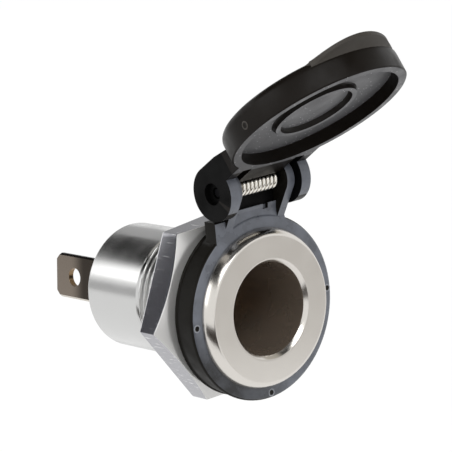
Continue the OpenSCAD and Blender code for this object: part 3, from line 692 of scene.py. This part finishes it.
# The wire's path: a straight leg, a helix round the hinge axis and a straight leg. The tube's ring at
# each point stands square to the path's direction there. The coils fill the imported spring's width, and
# they twist from the socket's end to the lid's
def makeSpring():
    s = springSizes
    hinge = next(j for j in frame["joints"] if j["name"] == "lid_hinge")
    centre = np.array(hinge["pos_m"]) / mm
    coilR = (s["outerD"] - s["wireD"]) / 2
    low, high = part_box("lid_spring")
    span = (high.x - low.x) / mm - s["wireD"]
    coils = round(span / s["pitch"])
    turn = np.linspace(0, 2 * math.pi * coils, s["stepsPerCoil"] * coils + 1)
    helix = np.stack([span / 2 - span * turn / turn[-1], coilR * np.cos(turn), coilR * np.sin(turn)], -1)
    leg = np.linspace(1, 0, s["legRows"], endpoint=False)[:, None]
    fixed = helix[0] - leg * np.array([0, 0, s["fixedLeg"]])
    moving = helix[-1] + leg[::-1] * np.array([0, 0, s["lidLeg"]])
    path = np.vstack([fixed, helix, moving])
    direction = np.gradient(path, axis=0)
    direction /= np.linalg.norm(direction, axis=1, keepdims=True)
    sideways = np.cross(direction, [1.0, 0, 0])
    sideways /= np.linalg.norm(sideways, axis=1, keepdims=True)
    upright = np.cross(direction, sideways)
    angle = np.linspace(0, 2 * math.pi, s["sides"], endpoint=False)[:, None]
    ring = sideways[:, None] * np.cos(angle) + upright[:, None] * np.sin(angle)
    points = centre + path[:, None] + ring * (s["wireD"] / 2)
    start = np.repeat((centre + path[:1])[None], s["sides"], 1)
    end = np.repeat((centre + path[-1:])[None], s["sides"], 1)
    spring = gridPiece("torsion_spring", np.vstack([start, points, end]) * mm, [springWire])
    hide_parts("lid_spring")
    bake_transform(spring)
    return spring


spring = makeSpring()
print("spring wound:", len(spring.data.polygons), "faces")


# Terminals: each blade is tinned, painted dark along its upper bevel as shade, painted bright at its end
# and lower bevel as highlights, and bare brass inside its hole

bladeSizes = {"edge": 0.04, "holeBack": 4.1, "holeR": 1.36, "darkBack": 6.4, "lightBack": 3.2, "tipL": 2.0,
              "sideTilt": 0.3, "endTilt": 0.4, "wallTilt": 0.5}


# The zones follow the way a face looks, and the hole is the ring of faces round a centre that lies back
# from the tip, at the mean height of the tip's faces
def makeBlade(node, name):
    s = bladeSizes
    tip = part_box(node)[1].y / mm

    def bladeZones(centres, normals):
        level = centres[centres[:, 1] > tip - s["tipL"]][:, 2].mean()
        hole = np.hypot(centres[:, 1] - tip + s["holeBack"], centres[:, 2] - level)
        zones = np.zeros(len(centres))
        zones[normals[:, 2] > s["sideTilt"]] = 1
        zones[(normals[:, 2] < -s["sideTilt"]) | (normals[:, 1] > s["endTilt"])] = 2
        zones[(hole < s["holeR"]) & (np.abs(normals[:, 0]) < s["wallTilt"])] = 3
        return zones

    bladeTin = tinnedBlade(name + "Tin", "#7e746a", "#3a342e", 0.16, tip - s["darkBack"],
                           tip - s["lightBack"])
    blade = softenedNode(node, name, s["edge"], [bladeTin, bladeEdgeShade, bladeEdgeHighlight, holeBrass], bladeZones)
    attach(blade, "socket")


makeBlade("positive_terminal", "positive_blade")
makeBlade("negative_terminal", "negative_blade")
print("blades made")


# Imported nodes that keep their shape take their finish

finishes = {
    "hinge_pin": pinSteel, "contact_holder": holderPhenolic, "rear_insulator": rearPhenolic,
    "center_contact": contactBrass, "contact_clip_ring": springWire, "center_rivet": contactBrass,
    "rivet_washer": pinSteel,
}
for node, material in finishes.items():
    nodes[node].data.materials.clear()
    nodes[node].data.materials.append(material)
print("nodes finished:", len(finishes))


# Studio: all lengths but the floor's drop are in metres

studio = {"floorDrop": 45.0, "floorHalf": 6.0, "paper": "#f2f2f2", "white": "#ffffff", "ambient": 0.55,
          "background": 1.0, "floorGlow": 0.94, "glow": 1.04}

# Azimuth, elevation, distance, width and height, and watts
lamps = {
    "keyPanel": (-20, 44, 0.7, (0.5, 0.3), 1.7),
    "sidePanel": (-100, 25, 0.7, (0.35, 0.3), 0.5),
    "backPanel": (215, 20, 0.7, (0.32, 0.2), 0.24),
}

# Azimuth, elevation, distance, width and height, colour, and the way that a card faces if not inwards
cards = {
    "ceilingCard": (180, 60, 1.0, (2.4, 1.3), "#0e0d0c"),
    "topCard": (0, 89, 0.95, (2.4, 2.4), "#161412"),
    "zenithCard": (0, 89.9, 0.6, (0.5, 0.5), "#b8b5b0"),
    "nutCard": (226, 19.7, 0.051, (0.011, 0.03), "#5c5c60", (0.604, -0.734, -0.311)),
    "midCard": (216, 0, 1.0, (0.7, 0.22), "#c4c4c4"),
    "sideCard": (146, 24, 0.9, (0.36, 0.5), "#bababa"),
    "rightCard": (92, 44, 0.8, (0.95, 0.42), "#c0bcb4"),
    "frontCard": (41, -15, 0.19, (0.16, 0.07), "#d4d2d0"),
    "tableCard": (-44, -30, 0.1, (0.22, 0.055), "#2e2520"),
}


# The direction of an azimuth a and an elevation e: (sin a cos e, -cos a cos e, sin e), so that
# azimuth 0 is in front and elevation 90 above
def outwardWay(azimuth, elevation):
    a, e = math.radians(azimuth), math.radians(elevation)
    return Vector((math.sin(a) * math.cos(e), -math.cos(a) * math.cos(e), math.sin(e)))


# 1 for what the camera, a reflection or a clear piece sees, and 0 for what lights the object: the
# greatest of the three flags
def seenDirectly(tree):
    path = addNode(tree, "ShaderNodeLightPath")
    seen = path.outputs["Is Camera Ray"]
    for kind in ("Is Glossy Ray", "Is Transmission Ray"):
        highest = addNode(tree, "ShaderNodeMath", {0: seen, 1: path.outputs[kind]}, operation="MAXIMUM")
        seen = highest.outputs[0]
    return seen


# The world is white where it is seen, and lights the object at the lower ambient strength
def makeWorld():
    world = bpy.data.worlds.new("paleStudio")
    bpy.context.scene.world = world
    world.use_nodes = True
    tree = world.node_tree
    tree.nodes.clear()
    white = linear(studio["white"])
    around = addNode(tree, "ShaderNodeBackground", {"Color": white, "Strength": studio["ambient"]})
    behind = addNode(tree, "ShaderNodeBackground", {"Color": white, "Strength": studio["background"]})
    mixed = addNode(tree, "ShaderNodeMixShader",
                    {0: seenDirectly(tree), 1: around.outputs[0], 2: behind.outputs[0]})
    addNode(tree, "ShaderNodeOutputWorld", {"Surface": mixed.outputs[0]})


# The floor is one square below the object, matt pale paper that takes its shadow. Where it is seen,
# most of it glows evenly white, so that the paper shows no edge
def makeFloor():
    half = studio["floorHalf"]
    height = cadBox[0].z - studio["floorDrop"] * mm
    corners = [(x * half, y * half, height) for x, y in ((-1, -1), (1, -1), (1, 1), (-1, 1))]
    mesh = bpy.data.meshes.new("floor")
    mesh.from_pydata(corners, [], [(0, 1, 2, 3)])
    floor = bpy.data.objects.new("floor", mesh)
    bpy.context.scene.collection.objects.link(floor)
    material = bpy.data.materials.new("palePaperFloor")
    material.use_nodes = True
    tree = material.node_tree
    tree.nodes.clear()
    paper = addNode(tree, "ShaderNodeBsdfDiffuse", {"Color": linear(studio["paper"])})
    glow = addNode(tree, "ShaderNodeEmission", {"Color": linear(studio["white"]), "Strength": studio["glow"]})
    share = addNode(tree, "ShaderNodeMath", {0: seenDirectly(tree), 1: studio["floorGlow"]},
                    operation="MULTIPLY")
    mixed = addNode(tree, "ShaderNodeMixShader",
                    {0: share.outputs[0], 1: paper.outputs[0], 2: glow.outputs[0]})
    addNode(tree, "ShaderNodeOutputMaterial", {"Surface": mixed.outputs[0]})
    mesh.materials.append(material)


# A soft lamp at a direction and distance from the object, turned to face it
def addLamp(name, azimuth, elevation, distance, size, watts):
    out = outwardWay(azimuth, elevation)
    data = bpy.data.lights.new(name, "AREA")
    data.shape = "RECTANGLE"
    data.size, data.size_y = size
    data.energy = watts
    lamp = bpy.data.objects.new(name, data)
    lamp.location = out * distance
    lamp.rotation_mode = "QUATERNION"
    lamp.rotation_quaternion = (-out).to_track_quat("-Z", "Y")
    bpy.context.scene.collection.objects.link(lamp)


# A plain card that only reflections see, as a photographer sets beside bright metal: a rectangle
# with its centre at a direction and distance, square to the way it faces
def addCard(name, azimuth, elevation, distance, size, colour, facing=None):
    out = outwardWay(azimuth, elevation)
    turn = Vector(facing or -out).to_track_quat("-Z", "Y").to_matrix()
    width, height = size[0] / 2, size[1] / 2
    corners = [turn @ Vector((x * width, y * height, 0)) + out * distance
               for x, y in ((-1, -1), (1, -1), (1, 1), (-1, 1))]
    mesh = bpy.data.meshes.new(name)
    mesh.from_pydata([tuple(c) for c in corners], [], [(0, 1, 2, 3)])
    card = bpy.data.objects.new(name, mesh)
    bpy.context.scene.collection.objects.link(card)
    material = bpy.data.materials.new(name + "Felt")
    material.use_nodes = True
    tree = material.node_tree
    tree.nodes.clear()
    felt = addNode(tree, "ShaderNodeEmission", {"Color": linear(colour), "Strength": 1.0})
    addNode(tree, "ShaderNodeOutputMaterial", {"Surface": felt.outputs[0]})
    mesh.materials.append(material)
    card.visible_camera = False
    card.visible_diffuse = False
    card.visible_shadow = False
    card.visible_transmission = False


makeWorld()
makeFloor()
for name, values in lamps.items():
    addLamp(name, *values)
for name, values in cards.items():
    addCard(name, *values)
print("studio lit")


# Camera: the photograph's viewpoint, with the aim point given in the picture's own right and up, and
# the nearest and farthest that it sees in metres

photoCamera = {"azimuth": -40.7, "elevation": 14.39, "roll": -5.38, "distance": 287.5, "focal": 174.86,
               "sensor": 36, "nearest": 0.01, "farthest": 20, "aimRight": -2.52, "aimUp": 10.27}


# The picture's right and up are turned by the roll about the way back to the camera, and the camera
# then looks at the aim point with that up
def makeCamera():
    s = photoCamera
    a, roll = math.radians(s["azimuth"]), math.radians(s["roll"])
    back = outwardWay(s["azimuth"], s["elevation"])
    level = Vector((math.cos(a), math.sin(a), 0))
    rise = back.cross(level)
    right = math.cos(roll) * level + math.sin(roll) * rise
    up = -math.sin(roll) * level + math.cos(roll) * rise
    place = back * s["distance"] * mm
    aim = (right * s["aimRight"] + up * s["aimUp"]) * mm
    away = (place - aim).normalized()
    across = up.cross(away).normalized()
    upright = away.cross(across)
    data = bpy.data.cameras.new("photoCamera")
    data.sensor_width = s["sensor"]
    data.lens = s["focal"]
    data.clip_start, data.clip_end = s["nearest"], s["farthest"]
    camera = bpy.data.objects.new("photoCamera", data)
    turn = Matrix((across, upright, away)).transposed().to_4x4()
    camera.matrix_world = Matrix.Translation(place) @ turn
    bpy.context.scene.collection.objects.link(camera)
    bpy.context.scene.camera = camera


makeCamera()
bpy.context.scene.view_settings.view_transform = "Standard"
